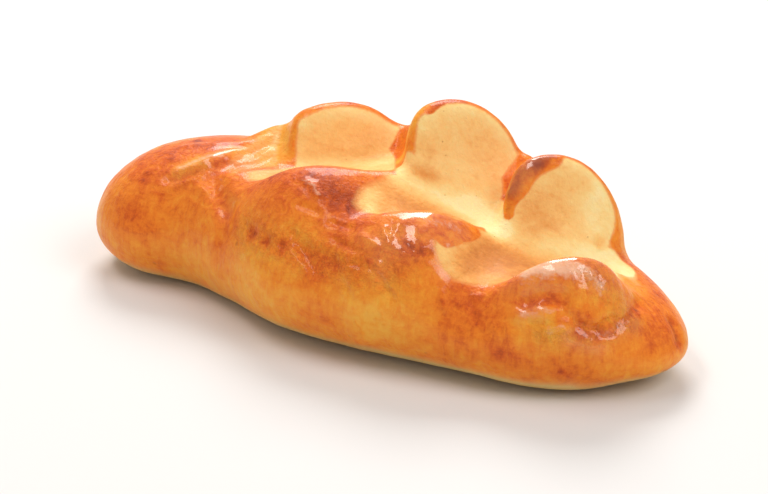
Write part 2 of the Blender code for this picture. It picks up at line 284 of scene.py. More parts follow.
# Small wrinkles pressed into the crust, or raised from it where negative
WRINKLES = (
    (((-49.2, -12.1, 28.3), (-44.0, -8.3, 30.7), (-39.0, -0.9, 31.9)), 1.3, -0.5),
    (((-50.5, -14.3, 26.6), (-45.0, -11.6, 28.9), (-41.0, -8.6, 30.2)), 1.1, 0.45),
    (((-48.6, -15.5, 25.4), (-44.8, -13.3, 27.5)), 1.0, -0.3),
    (((-41.5, -14.5, 26.7), (-38.0, -15.6, 26.6)), 0.9, -0.3),
    (((-21.0, -23.8, 25.6), (-20.0, -25.0, 24.4)), 0.8, 0.4),
    (((-7.6, -25.6, 27.9), (-5.9, -26.4, 27.2)), 0.8, 0.4),
    (((-4.4, -29.0, 24.0), (-1.4, -30.4, 22.2), (2.0, -31.8, 20.4)), 1.0, -0.4),
    (((8.5, -28.8, 26.0), (11.0, -30.2, 23.2)), 0.9, -0.35),
    (((19.5, -29.6, 26.4), (22.5, -30.8, 22.8)), 0.9, -0.35),
    (((17.8, -21.8, 33.3), (18.6, -24.0, 32.2)), 0.9, 0.5),
    (((24.0, -25.0, 30.6), (26.6, -25.6, 29.2), (28.8, -24.4, 29.3)), 0.9, 0.5),
    (((47.4, -27.2, 17.6), (48.8, -27.3, 15.6)), 0.8, -0.35),
    (((50.4, -26.6, 17.8), (51.2, -26.4, 16.0)), 0.8, -0.35),
    (((65.8, -18.6, 17.8), (67.2, -17.4, 16.4), (68.6, -16.4, 15.0)), 0.9, -0.5),
    (((62.4, -20.9, 19.6), (64.4, -19.8, 17.0)), 0.8, -0.4),
    (((66.5, -12.2, 25.4), (68.6, -12.3, 21.7)), 0.9, 0.45),
    (((64.0, -14.6, 29.6), (66.0, -15.2, 25.0)), 0.8, -0.5),
    (((61.5, -17.2, 29.6), (63.5, -18.3, 25.5)), 0.8, -0.45),
    (((62.9, -15.8, 30.0), (64.8, -16.8, 25.6)), 0.7, 0.4),
    (((66.8, -11.2, 27.2), (68.8, -11.0, 22.6)), 0.8, -0.45),
    (((55.5, -25.2, 19.4), (58.5, -24.3, 19.6)), 0.8, 0.4),
    (((57.5, -22.6, 24.0), (61.5, -20.6, 23.4)), 0.8, 0.45),
    (((65.4, -16.8, 23.4), (66.4, -17.2, 21.6)), 0.9, 0.4),
    (((71.3, -12.0, 15.4), (71.4, -9.0, 15.8), (71.6, -6.0, 16.4)), 0.9, -0.4),
    (((52.8, 11.3, 24.7),), 1.6, 0.7),
    (((36.2, -17.6, 25.0),), 1.3, -0.15),
    (((5.8, -26.7, 28.1), (12.4, -28.4, 27.7)), 0.8, 0.45),
    (((10.9, -30.3, 25.2), (18.2, -30.5, 25.5)), 0.8, 0.45),
    (((11.8, -25.5, 30.2), (17.7, -27.2, 29.5)), 0.8, -0.4),
    (((2.5, -23.7, 30.7), (8.1, -24.0, 30.6)), 0.8, 0.4),
    (((17.2, -23.7, 32.5), (19.7, -26.2, 30.5)), 0.8, -0.45),
    (((20.3, -30.5, 24.3), (24.0, -31.2, 19.4)), 0.8, 0.45),
    (((12.5, -32.7, 20.8), (14.9, -33.5, 18.1)), 0.8, 0.4),
    (((33.6, -26.8, 22.5), (36.0, -28.0, 18.7)), 0.8, -0.4),
    (((40.3, -25.0, 21.0), (43.2, -27.2, 17.3)), 0.8, 0.4),
    (((-6.4, -22.7, 32.6), (-1.4, -22.8, 32.0)), 0.8, 0.4),
    (((-8.5, -17.5, 36.0), (-5.5, -18.3, 36.1), (-3.3, -19.9, 34.7)), 0.9, -0.5),
    (((-34.5, 5.0, 33.3), (-36.5, 0.5, 32.2), (-40.0, -3.0, 31.8)), 1.1, 0.35),
    (((-33.0, 3.0, 32.3), (-34.0, -1.5, 31.2), (-37.0, -4.5, 30.4)), 1.0, -0.3),
    (((-31.0, 1.0, 31.6), (-31.5, -3.5, 30.7), (-33.5, -7.5, 29.8)), 1.1, 0.3),
    (((-52.0, 2.0, 31.4), (-44.0, 4.0, 32.6), (-37.0, 8.5, 34.6)), 1.1, 0.35),
    (((-54.0, -3.0, 30.6), (-46.0, -0.5, 32.0), (-40.0, 3.0, 33.0)), 1.2, -0.35),
)

# Browner places on the crust, or paler where negative; some strokes are painted light and shade (marked
# below)
BROWNING_AND_PAINTED_LIGHT = (
    (((-54.6, -20.6, 18.9), (-47.6, -20.1, 16.4)), 8.0, 0.18),
    (((-56.9, -14.5, 26.1),), 1.8, 0.25),
    (((-46.0, -3.0, 32.0), (-58.0, -6.0, 28.5)), 5.0, 0.14),
    (((-53.0, -20.5, 17.0),), 7.0, 0.10),
    (((-50.6, -17.3, 23.5),), 1.5, 0.25),
    (((-34.0, -21.0, 18.0),), 6.0, 0.10),
    (((-53.2, 0.9, 31.3),), 1.2, 0.4),
    (((-53.4, 7.3, 30.6),), 1.0, 0.4),
    (((-22.0, -12.5, 33.0), (-15.0, -15.5, 35.0), (-8.5, -15.0, 36.8)), 2.0, 0.20),
    (((-56.9, -17.4, 23.7), (-52.7, -19.0, 21.3)), 5.0, -0.16),
    (((-15.8, -29.5, 19.2),), 5.0, -0.10),
    # Painted highlight: paler along the raised wrinkle on the blunt end's dome
    (((-49.4, -11.1, 28.9), (-45.6, -8.1, 30.8), (-39.0, -0.9, 31.9)), 2.4, -0.30),
    (((27.4, -14.8, 33.2), (30.3, -12.1, 30.5)), 3.0, 0.15),
    (((-5.0, -16.6, 37.0), (3.6, -17.2, 34.1)), 5.5, 0.34),
    (((2.4, -21.5, 32.3), (9.0, -22.5, 32.0)), 4.5, 0.12),
    (((25.8, -25.9, 29.4), (28.0, -24.2, 29.8)), 3.0, 0.15),
    (((18.0, -24.5, 31.8),), 4.0, -0.16),
    # Painted shade: the three dents are drawn darker
    (((-17.6, -26.1, 24.6),), 1.5, 0.30),
    (((-12.2, -28.1, 24.5),), 1.5, 0.30),
    (((-7.5, -28.9, 24.9),), 1.5, 0.25),
    (((49.8, -27.9, 11.0),), 1.8, 0.25),
    (((43.4, -29.0, 10.3),), 1.4, 0.2),
    (((62.2, -22.3, 8.6),), 1.5, 0.2),
    # Painted light: paler where the crinkles of the narrow end shade the crust
    (((56.0, -25.5, 17.5), (60.0, -23.5, 16.0)), 5.0, -0.12),
    (((66.2, -18.6, 21.6),), 2.2, 0.25),
    (((76.0, -4.0, 14.5),), 7.0, 0.24),
    (((42.0, -28.5, 15.0),), 9.0, 0.24),
    (((56.0, -25.0, 8.0), (70.0, -16.0, 8.0)), 7.0, 0.20),
    # Painted light: paler on the second lobe's left strip, which lies in shade
    (((0.1, 9.3, 34.7), (4.5, 7.6, 45.5), (5.4, 9.6, 48.1)), 2.6, -0.40),
    (((8.2, 9.4, 48.6), (9.6, 13.8, 50.1), (14.0, 15.5, 49.5)), 1.8, 0.25),
    (((-14.8, -31.2, 13.8),), 9.0, -0.14),
    (((20.0, -32.0, 15.0),), 8.0, -0.16),
    (((-35.9, 7.4, 34.3), (-30.0, 1.0, 32.0)), 5.0, -0.40),
    (((62.0, 6.0, 21.0), (66.0, 2.0, 20.0)), 4.5, -0.30),
)

# Dark, almost charred places, and painted shade in the dent, the trough and the slit at the narrow end
SCORCHED_AND_SHADED = (
    (((32.9, 4.4, 35.2), (33.6, 5.9, 37.4), (34.6, 7.1, 39.4), (36.2, 8.9, 41.1)), 3.0, 0.60),
    (((37.2, 10.2, 41.8), (38.7, 12.2, 42.4)), 1.8, 0.5),
    (((33.5, 2.6, 31.6), (34.3, 1.8, 30.0), (35.2, 0.6, 28.4)), 1.2, 0.40),
    # Painted shade in the slit at the narrow end, which is also pressed in as a fold
    (((75.9, 2.2, 14.4), (77.5, 1.3, 13.0), (78.8, 0.2, 11.3)), 0.9, 0.8),
    (((70.9, -5.2, 18.7),), 0.7, 0.7),
    (((77.6, -4.5, 5.1),), 1.2, 0.8),
    # Painted shade in the dent and the trough of the narrow end
    (((54.2, -21.8, 25.2), (59.0, -19.4, 26.2)), 1.2, 0.25),
    (((63.5, -19.8, 18.8), (66.6, -17.4, 17.4)), 1.1, 0.25),
    (((27.6, -24.8, 29.6),), 1.2, 0.35),
)

# Crust that reaches over the cut faces, and crumb that shows beyond them (one stroke also painted light)
CRUSTED = (
    (((33.9, 2.2, 30.6), (33.1, 3.5, 33.0)), 1.4, 1.0),
    (((32.6, 4.7, 35.0), (33.4, 5.6, 36.9)), 2.7, 1.0),
    (((27.0, -15.4, 33.4), (28.8, -14.0, 32.1), (30.3, -11.0, 30.4)), 2.8, 1.0),
    (((30.3, -11.0, 30.4), (31.2, -8.0, 29.3)), 2.0, 0.8),
    (((27.5, -18.5, 31.6), (29.7, -18.4, 30.7), (30.2, -15.6, 30.5)), 2.4, 1.0),
    (
        ((33.3, 5.5, 36.9), (34.2, 6.6, 38.7), (35.7, 8.3, 40.6), (37.2, 10.2, 41.8), (38.7, 12.2, 42.4)),
        3.6,
        1.0,
    ),
    (((8.2, 9.4, 48.6), (9.6, 13.8, 50.1)), 1.6, 0.8),
    (((10.2, 1.0, 36.3), (14.0, 2.2, 35.0)), 1.5, 0.45),
)
BARED_AND_PAINTED_LIGHT = (
    # Partly painted light: crumb also lightens the second lobe's left strip, which lies in shade
    (((0.1, 9.3, 34.7), (4.5, 7.6, 45.5)), 2.0, 0.45),
    (((-35.8, 12.3, 35.4), (-33.7, 6.7, 33.7), (-32.7, 2.7, 32.1)), 2.4, 0.55),
    (((-37.5, 1.1, 32.1), (-36.4, -4.5, 30.3)), 2.6, 0.22),
    (((6.5, 1.4, 38.2), (9.4, -1.8, 35.7)), 2.8, 1.2),
    (((26.2, 7.1, 29.7), (29.0, 4.5, 28.7), (31.5, 0.6, 28.2), (34.0, -2.0, 27.5)), 3.4, 1.4),
    (((55.5, 11.3, 22.4), (60.0, 8.6, 21.2)), 3.0, 0.9),
    (((60.0, 8.6, 21.2), (66.0, 4.8, 20.0)), 3.0, 0.45),
)

# Orange blush on the crumb
BLUSHED = (
    (((-30.5, 9.5, 37.3), (-27.6, 4.2, 35.6), (-26.0, 1.6, 33.3)), 1.4, 0.9),
    (((-18.0, 3.5, 33.2), (-10.0, 8.5, 34.0)), 3.0, 0.18),
    (((-37.5, 1.1, 32.1), (-36.4, -4.5, 30.3)), 3.0, 0.4),
    (((-19.0, 6.0, 35.0), (-12.0, 12.0, 36.0)), 5.0, 0.25),
    (((10.2, 1.0, 36.3), (14.0, 2.5, 35.5)), 2.2, 0.9),
    (((12.0, 7.0, 41.0),), 7.0, 0.20),
    (((37.9, 5.0, 31.7), (42.1, 4.8, 27.8)), 5.0, 0.40),
    (((44.0, 11.0, 36.0),), 6.0, 0.25),
    (((52.8, 11.3, 24.7),), 1.8, 0.8),
    (((34.0, -18.0, 26.5), (43.0, -9.0, 24.5)), 8.0, 0.10),
)

# Bright stretched dough between the snips
STRETCHED = (
    (((-31.4, 0.5, 31.5), (-22.1, 0.0, 31.8), (-16.7, 4.7, 32.2), (-4.9, 10.5, 32.5)), 2.4, 0.25),
    (((10.5, -2.5, 34.5), (17.7, -0.6, 31.8), (23.2, 3.0, 30.4)), 3.5, 0.40),
    (((23.2, 3.0, 30.4), (28.5, 2.8, 28.6), (32.5, -0.5, 28.2)), 3.5, 0.8),
    (((43.4, 3.2, 25.2), (51.2, 7.1, 24.1), (55.8, 10.7, 22.7), (64.6, 5.8, 20.3)), 3.5, 0.35),
    (((-34.0, 8.0, 34.2), (-33.2, 5.0, 33.0)), 1.6, 0.5),
    (((30.5, -3.0, 28.6), (34.0, -2.0, 27.0)), 3.0, 0.6),
    (((17.5, 6.5, 37.5), (23.0, 8.5, 36.0)), 4.5, 0.18),
    (((50.5, 13.0, 28.1), (48.5, 15.5, 33.0)), 3.0, 0.4),
    (((5.0, -13.5, 34.5), (7.5, -16.5, 33.2)), 3.0, 0.35),
)

# Glossy egg wash
GLOSSED = (
    (((-49.0, -12.0, 28.0), (-40.0, -4.0, 31.5)), 4.0, 0.5),
    (((-30.0, -19.0, 25.0),), 4.0, 0.4),
    (((-32.0, 3.0, 33.0),), 4.0, 0.3),
    (((-5.1, -18.1, 36.2), (3.0, -14.0, 36.0)), 3.0, 0.25),
    (((22.7, -24.0, 31.6), (24.5, -20.0, 33.0)), 6.0, 0.8),
    (((30.7, -17.1, 29.8), (33.3, -23.4, 25.5)), 2.5, 0.8),
    (((49.0, -20.5, 27.5), (58.4, -17.0, 30.5), (63.0, -13.5, 30.5)), 6.0, 0.7),
    (((64.0, -15.0, 28.5), (67.5, -12.0, 24.0)), 2.6, 0.5),
    (((11.8, -25.5, 30.2), (17.7, -27.2, 29.5), (20.3, -30.5, 24.3)), 3.0, 0.4),
    (((27.4, -14.8, 33.2), (30.3, -12.1, 30.5)), 3.0, 1.0),
    (((53.6, -24.8, 21.4), (57.2, -23.9, 21.9)), 1.6, 0.8),
    (((63.5, -20.5, 16.5), (67.5, -17.5, 14.4), (72.0, -9.0, 16.5)), 2.6, 0.8),
    (((33.3, 5.5, 36.9), (35.7, 8.3, 40.6)), 3.0, 1.0),
)

# Painted highlights: pale pink streaks on the crests and on the lips of folds, standing in for light on
# the egg wash
PAINTED_HIGHLIGHTS = (
    (((51.6, -19.8, 28.6), (55.1, -19.2, 30.2), (58.1, -18.2, 30.9), (61.1, -16.8, 30.6)), 2.8, 0.95),
    (((64.2, -15.0, 29.4), (66.3, -14.2, 27.3)), 2.0, 0.45),
    (((-49.4, -11.1, 28.9), (-45.6, -8.1, 30.8), (-41.6, -5.5, 31.8)), 1.5, 0.65),
    (((-8.5, -17.5, 36.0), (-5.5, -18.3, 36.1), (-3.3, -19.9, 34.7)), 0.9, 0.6),
    (((24.8, -19.1, 34.0), (26.8, -16.2, 33.7), (29.4, -13.0, 31.4)), 1.6, 0.5),
    (((32.0, -22.0, 27.6), (31.0, -18.6, 29.4)), 1.2, 0.5),
    (((53.8, -24.9, 20.9), (57.2, -23.7, 21.8), (59.4, -22.4, 22.2)), 1.4, 0.5),
    (((59.2, -24.1, 17.9), (61.8, -22.2, 18.9)), 1.1, 0.6),
    (((68.4, -15.8, 16.2), (70.8, -11.0, 17.6)), 1.6, 0.5),
    (((65.6, -14.6, 26.4), (66.6, -14.2, 24.4)), 1.6, 0.4),
    (((-36.8, -11.5, 28.6), (-35.2, -14.0, 27.6)), 0.9, 0.4),
)

# Finely wrinkled crust
CRINKLED = (
    (((64.0, -14.0, 28.0), (68.0, -11.0, 22.0)), 4.5, 0.5),
    (((58.0, -23.5, 17.0), (66.0, -18.5, 16.0), (71.5, -9.0, 17.0)), 3.0, 0.6),
    (((-47.0, -13.0, 27.5), (-41.0, -8.0, 30.0)), 4.0, 0.3),
    (((-2.0, -17.5, 36.0), (6.0, -16.0, 34.0)), 4.0, 0.4),
    (((20.0, -24.0, 31.8), (28.0, -24.0, 30.0)), 4.0, 0.35),
    (((-20.0, -26.0, 24.0), (0.0, -30.0, 24.0), (22.0, -30.0, 24.5)), 6.0, 0.5),
)

# Pale dough that shows along the foot
PALE_FOOT = (
    (((19.0, -26.5, 2.6), (31.4, -24.6, 2.2), (46.7, -23.8, 2.6), (62.0, -19.6, 2.8)), 2.3, 0.9),
)


def mesh_points(mesh):
    points = np.empty(len(mesh.vertices) * 3)
    mesh.vertices.foreach_get("co", points)
    return points.reshape(-1, 3)


def skin_mesh(node):
    """An even, fine copy of the node's mesh."""
    source = node.data.copy()
    bm = bmesh.new()
    bm.from_mesh(source)
    bmesh.ops.remove_doubles(bm, verts=bm.verts, dist=WELD_DISTANCE)
    bm.to_mesh(source)
    bm.free()
    source.materials.clear()
    rough = bpy.data.objects.new("rough_skin", source)
    bpy.context.scene.collection.objects.link(rough)
    even = rough.modifiers.new("even", "REMESH")
    even.mode = "VOXEL"
    even.voxel_size = SKIN_VOXEL
    graph = bpy.context.evaluated_depsgraph_get()
    mesh = bpy.data.meshes.new_from_object(rough.evaluated_get(graph))
    bpy.data.objects.remove(rough)
    return mesh


def field_slope(points, value):
    steps = SLOPE_PROBE * np.eye(3)
    return np.stack([(bun_field(*(points + step).T) - value) / SLOPE_PROBE for step in steps], axis=1)


def settle(points):
    """Moves points along the field's slope until they lie on the surface."""
    for _ in range(SETTLE_STEPS):
        value = bun_field(*points.T)
        slope = field_slope(points, value)
        step = value / np.maximum((slope**2).sum(axis=1), LEAST_SETTLE_SLOPE)
        points = points - slope * np.clip(step, -LONGEST_STEP, LONGEST_STEP)[:, None]
    return points


# Where the crust is cut away. Each range gives where an effect starts and where it is full.

# Depth under the uncut loaf, at which crumb shows
CRUMB_DEPTHS = (0.2, 1.5)
# Distance outside a snip, within which its sides count
SNIP_REACH = (3.0, 0.8)
# How far the next lobe's wall and the ridge stand past the face and floor, where crust is kept
NEXT_REACH = (-2.4, -0.6)
NEXT_CRUST = 0.9
RIDGE_REACH = (-0.4, 1.2)
RIDGE_CRUST = 0.6
# The shallow first opening, and places along the bun past which it keeps more crust
SHALLOW_SNIP = 0
SHALLOW_PLACES = (-24.0, -28.0)
SHALLOW_CRUST = 0.55
# Strength of the strokes of crust over the crumb, and of bare crumb and painted light
CRUSTED_STRENGTHS = (0.3, 0.7)
BARED_AND_LIGHT_STRENGTHS = (0.2, 0.8)


def paleness(x, y, z):
    """How much of the crust is cut away (0 to 1), and how deep under it the point lies."""
    depth = -uncut(x, y, z) - brushed(x, y, z, FOLDS)
    pale = smooth_step(depth, *CRUMB_DEPTHS)
    for index, corners in enumerate(SNIPS):
        face, floor, ridge, following, heel = snip_sides(x, y, z, *corners)
        inside = smooth_step(np.maximum.reduce([face, floor, ridge, following, heel]), *SNIP_REACH)
        beside = smooth_step(following - np.maximum(face, floor), *NEXT_REACH) * inside
        lip = smooth_step(ridge - np.maximum(face, floor), *RIDGE_REACH) * inside
        pale = pale * (1 - NEXT_CRUST * beside) * (1 - RIDGE_CRUST * lip)
        if index == SHALLOW_SNIP:
            pale = pale * (1 - SHALLOW_CRUST * inside * smooth_step(x, *SHALLOW_PLACES))
    crusted = smooth_step(brushed(x, y, z, CRUSTED), *CRUSTED_STRENGTHS)
    bared_and_lightened = smooth_step(brushed(x, y, z, BARED_AND_PAINTED_LIGHT), *BARED_AND_LIGHT_STRENGTHS)
    return np.clip(np.maximum(pale, bared_and_lightened) * (1 - crusted), 0.0, 1.0), depth


def write_mask(mesh, name, values):
    layer = mesh.attributes.new(name, "FLOAT", "POINT")
    layer.data.foreach_set("value", np.ascontiguousarray(values, dtype=np.float32))


# Value that a noise node's output varies around
NOISE_MIDDLE = 0.5

# Sockets of the Mix node that carry colour
MIX_FIRST, MIX_SECOND, MIX_RESULT = 6, 7, 2


class Level:
    """One number that changes over a surface: a socket of a node tree."""

    def __init__(self, owner, socket):
        self.owner = owner
        self.socket = socket

    def maths(self, operation, first, second=0.0):
        return self.owner.add("ShaderNodeMath", {"operation": operation}, {0: first, 1: second}).level()

    def __add__(self, other):
        return self.maths("ADD", self, other)

    def __radd__(self, other):
        return self.maths("ADD", other, self)

    def __sub__(self, other):
        return self.maths("SUBTRACT", self, other)

    def __rsub__(self, other):
        return self.maths("SUBTRACT", other, self)

    def __mul__(self, other):
        return self.maths("MULTIPLY", self, other)

    def __rmul__(self, other):
        return self.maths("MULTIPLY", other, self)

    def size(self):
        return self.maths("ABSOLUTE", self)

    def between(self, low, high):
        """0 at low, 1 at high, smooth between."""
        settings = {"interpolation_type": "SMOOTHSTEP"}
        return self.owner.add("ShaderNodeMapRange", settings, {0: self, 1: low, 2: high}).level()


class Made:
    """A node that was added, with its outputs."""

    def __init__(self, owner, node):
        self.owner = owner
        self.node = node

    def out(self, name=0):
        return self.node.outputs[name]

    def level(self, name=0):
        return Level(self.owner, self.node.outputs[name])


class Tree:
    """A node tree under construction."""

    def __init__(self, tree):
        self.tree = tree

    def feed(self, socket, value):
        if isinstance(value, Level):
            self.tree.links.new(value.socket, socket)
        elif isinstance(value, bpy.types.NodeSocket):
            self.tree.links.new(value, socket)
        else:
            socket.default_value = value

    def add(self, kind, settings, sockets):
        """Adds a node: its settings first, then the values or links of its sockets."""
        node = self.tree.nodes.new(kind)
        for name, value in settings.items():
            if name == "stops":
                self.set_stops(node.color_ramp, value)
            else:
                setattr(node, name, value)
        for key, value in sockets.items():
            self.feed(node.inputs[key], value)
        return Made(self, node)

    def set_stops(self, ramp, stops):
        while len(ramp.elements) > 1:
            ramp.elements.remove(ramp.elements[-1])
        for index, (place, colour) in enumerate(stops):
            stop = ramp.elements[0] if index == 0 else ramp.elements.new(place)
            stop.position = place
            stop.color = (*colour, 1.0)


SWELLING_SIZES = {
    "Broad size": 9.0 * MM,
    "Broad height": 0.65 * MM,
    "Crinkle size": 2.4 * MM,
    "Crinkle depth": 0.35 * MM,
}
SWELLING_DETAIL = 2.0
CRINKLE_DISTORTION = 0.8
CRINKLE_WIDTH = 0.10
# How much less the cut faces swell than the crust
CRUMB_CALM = 0.6


def swelling_tree():
    """Nodes that lay the uneven swelling of baked dough on the skin."""
    group = bpy.data.node_groups.new("crust_swelling", "GeometryNodeTree")
    group.interface.new_socket("Skin", in_out="INPUT", socket_type="NodeSocketGeometry")
    for name, value in SWELLING_SIZES.items():
        socket = group.interface.new_socket(name, in_out="INPUT", socket_type="NodeSocketFloat")
        socket.default_value = value
    group.interface.new_socket("Finish", in_out="INPUT", socket_type="NodeSocketMaterial")
    group.interface.new_socket("Skin", in_out="OUTPUT", socket_type="NodeSocketGeometry")
    nodes = Tree(group)
    given = nodes.add("NodeGroupInput", {}, {})

    def mask(name):
        kind = "GeometryNodeInputNamedAttribute"
        return nodes.add(kind, {"data_type": "FLOAT"}, {"Name": name}).level("Attribute")

    def noise(size_name, distortion):
        per_size = nodes.add("ShaderNodeMath", {"operation": "DIVIDE"}, {0: 1.0, 1: given.out(size_name)})
        sockets = {"Scale": per_size.out(), "Detail": SWELLING_DETAIL, "Distortion": distortion}
        return nodes.add("ShaderNodeTexNoise", {}, sockets).level()

    crust = 1 - CRUMB_CALM * mask("pale")
    broad = (noise("Broad size", 0.0) - NOISE_MIDDLE) * given.level("Broad height") * crust
    ridges = (noise("Crinkle size", CRINKLE_DISTORTION) - NOISE_MIDDLE).size().between(CRINKLE_WIDTH, 0.0)
    crinkle = ridges * given.level("Crinkle depth") * mask("crinkled") * crust
    height = (broad - crinkle) * mask("lifted")
    normal = nodes.add("GeometryNodeInputNormal", {}, {}).out()
    offset = nodes.add("ShaderNodeVectorMath", {"operation": "SCALE"}, {0: normal, "Scale": height})
    skin = {"Geometry": given.out("Skin"), "Offset": offset.out()}
    moved = nodes.add("GeometryNodeSetPosition", {}, skin)
    smooth = nodes.add("GeometryNodeSetShadeSmooth", {}, {"Geometry": moved.out()})
    real = nodes.add("GeometryNodeRealizeInstances", {}, {"Geometry": smooth.out()})
    skin = {"Geometry": real.out(), "Material": given.out("Finish")}
    dressed = nodes.add("GeometryNodeSetMaterial", {}, skin)
    nodes.add("NodeGroupOutput", {}, {0: dressed.out()})
    return group


def set_input(modifier, name, value):
    for item in modifier.node_group.interface.items_tree:
        if item.in_out == "INPUT" and item.name == name:
            modifier[item.identifier] = value


# What the masks say. Each range gives where an effect starts and where it is full.

# Heights over the table at which relief shows
LIFTED_HEIGHTS = (0.3, 2.5)
# The upright part of the skin's normal, where it counts as turned up or down
UPWARD_SLOPES = (0.0, 0.9)
UNDER_SLOPES = (0.5, 0.85)
UNDER_HEIGHTS = (7.0, 4.0)
# Browning of the crust, and how much more there is where it looks up
TOAST = 0.28
UPWARD_TOAST = 0.24
# Brightness of the crumb, and what changes it: looking up, a floor near the front, the
# blush, the stretched dough, and a painted highlight: a bright line at one depth under the crust
CRUMB_TONE = 0.745
UPWARD_SHADE = 0.16
FLOOR_SHADE = 0.38
FLOOR_SLOPES = (0.50, 0.9)
FLOOR_PLACES = (1.0, -7.0)
BLUSH_SHADE = 0.42
STRETCHED_TONE = 0.75
EDGE_HIGHLIGHT_TONE = 0.18
EDGE_HIGHLIGHT_DEPTH = 1.4
EDGE_HIGHLIGHT_HALF_WIDTH = 1.2


def crumb_tone(x, y, z, upright, pale, depth):
    """How bright the crumb is, about 0 to 1."""
    upward = smooth_step(upright, *UPWARD_SLOPES)
    floors = smooth_step(upright, *FLOOR_SLOPES) * smooth_step(y, *FLOOR_PLACES)
    # Painted highlight: a bright line along the cut edge
    edge_highlight = np.exp(-(((depth - EDGE_HIGHLIGHT_DEPTH) / EDGE_HIGHLIGHT_HALF_WIDTH) ** 2)) * pale
    tone = CRUMB_TONE - UPWARD_SHADE * upward - FLOOR_SHADE * floors
    tone = tone - BLUSH_SHADE * brushed(x, y, z, BLUSHED)
    return tone + STRETCHED_TONE * brushed(x, y, z, STRETCHED) + EDGE_HIGHLIGHT_TONE * edge_highlight


def skin_masks(x, y, z, upright, wrinkles, lifted):
    """What the finish and the swelling read at each point, by name."""
    pale, depth = paleness(x, y, z)
    upward = smooth_step(upright, *UPWARD_SLOPES)
    under = smooth_step(-upright, *UNDER_SLOPES) * smooth_step(z, *UNDER_HEIGHTS)
    return {
        "pale": pale,
        "crumb_tone": crumb_tone(x, y, z, upright, pale, depth),
        "toast_and_painted_light": TOAST + UPWARD_TOAST * upward + brushed(x, y, z, BROWNING_AND_PAINTED_LIGHT),
        "scorched_and_shaded": brushed(x, y, z, SCORCHED_AND_SHADED),
        "stretched": brushed(x, y, z, STRETCHED),
        "glossed": brushed(x, y, z, GLOSSED),
        "painted_highlight": brushed(x, y, z, PAINTED_HIGHLIGHTS),
        "crinkled": brushed(x, y, z, CRINKLED),
        "crease_shade": np.clip(brushed(x, y, z, FOLDS) + wrinkles, 0.0, 1.0) * lifted,
        "under": under + brushed(x, y, z, PALE_FOOT),
        "lifted": lifted,
    }


def swell(bun, finish):
    """Lays the uneven swelling and the finish on the bun, and leaves it a plain mesh."""
    even = bun.data
    swelling = bun.modifiers.new("swelling", "NODES")
    swelling.node_group = swelling_tree()
    set_input(swelling, "Finish", finish)
    graph = bpy.context.evaluated_depsgraph_get()
    swollen = bpy.data.meshes.new_from_object(bun.evaluated_get(graph))
    bun.modifiers.remove(swelling)
    bun.data = swollen
    bpy.data.meshes.remove(even)


def make_bun(node, finish):
    mesh = skin_mesh(node)
    points = settle(mesh_points(mesh) / MM + MIDDLE)
    normals = field_slope(points, bun_field(*points.T))
    normals = normals / np.linalg.norm(normals, axis=1)[:, None]
    x, y, z = points.T
    lifted = smooth_step(z, *LIFTED_HEIGHTS)
    wrinkles = brushed(x, y, z, WRINKLES)
    for name, values in skin_masks(x, y, z, normals[:, 2], wrinkles, lifted).items():
        write_mask(mesh, name, values)
    points = points - normals * (wrinkles * lifted)[:, None]
    mesh.vertices.foreach_set("co", ((points - MIDDLE) * MM).ravel())
    mesh.update()
    bun = bpy.data.objects.new("bun_skin", mesh)
    bpy.context.scene.collection.objects.link(bun)
    swell(bun, finish)
    return bun


class Finish(Tree):
    """A material under construction."""

    def __init__(self, name):
        self.material = bpy.data.materials.new(name)
        self.material.use_nodes = True
        super().__init__(self.material.node_tree)
        self.shader = self.tree.nodes["Principled BSDF"]
        metres = self.add("ShaderNodeTexCoord", {}, {}).out("Object")
        sockets = {0: metres, "Scale": 1 / MM}
        self.place = self.add("ShaderNodeVectorMath", {"operation": "SCALE"}, sockets).out()

    def mask(self, name):
        return self.add("ShaderNodeAttribute", {"attribute_name": name}, {}).level("Fac")

    def drawn_out(self, scale, turn):
        """The place, scaled and turned, for grain that runs one way."""
        sockets = {"Vector": self.place, "Rotation": turn, "Scale": scale}
        return self.add("ShaderNodeMapping", {"vector_type": "POINT"}, sockets).out()

    def grain(self, size, detail=3.0, roughness=0.5, distortion=0.0, place=None):
        """Noise around 0.5, with features of the given size in millimetres."""
        sockets = {
            "Vector": self.place if place is None else place,
            "Scale": 1 / size,
            "Detail": detail,
            "Roughness": roughness,
            "Distortion": distortion,
        }
        return self.add("ShaderNodeTexNoise", {}, sockets).level()

    def marks(self, spacing, edge, patch, patch_edge):
        """Small round marks, scattered in patches; sizes in millimetres."""
        sockets = {"Vector": self.place, "Scale": 1 / spacing}
        away = self.add("ShaderNodeTexVoronoi", {}, sockets).level("Distance")
        return away.between(*edge) * self.grain(patch, PATCH_DETAIL).between(*patch_edge)

    def ramp(self, level, stops):
        return self.add("ShaderNodeValToRGB", {"stops": stops}, {0: level}).out("Color")

    def blend(self, share, first, second):
        """Mixes two colours; share is how much of the second shows."""
        first = first if isinstance(first, bpy.types.NodeSocket) else (*first, 1.0)
        second = second if isinstance(second, bpy.types.NodeSocket) else (*second, 1.0)
        sockets = {0: share, MIX_FIRST: first, MIX_SECOND: second}
        return self.add("ShaderNodeMix", {"data_type": "RGBA"}, sockets).out(MIX_RESULT)

    def bump(self, height, distance):
        made = self.add("ShaderNodeBump", {}, {"Height": height, "Distance": distance, "Strength": 1.0})
        self.tree.links.new(made.out(), self.shader.inputs["Normal"])

    def set(self, **inputs):
        for name, value in inputs.items():
            self.feed(self.shader.inputs[name.replace("_", " ")], value)


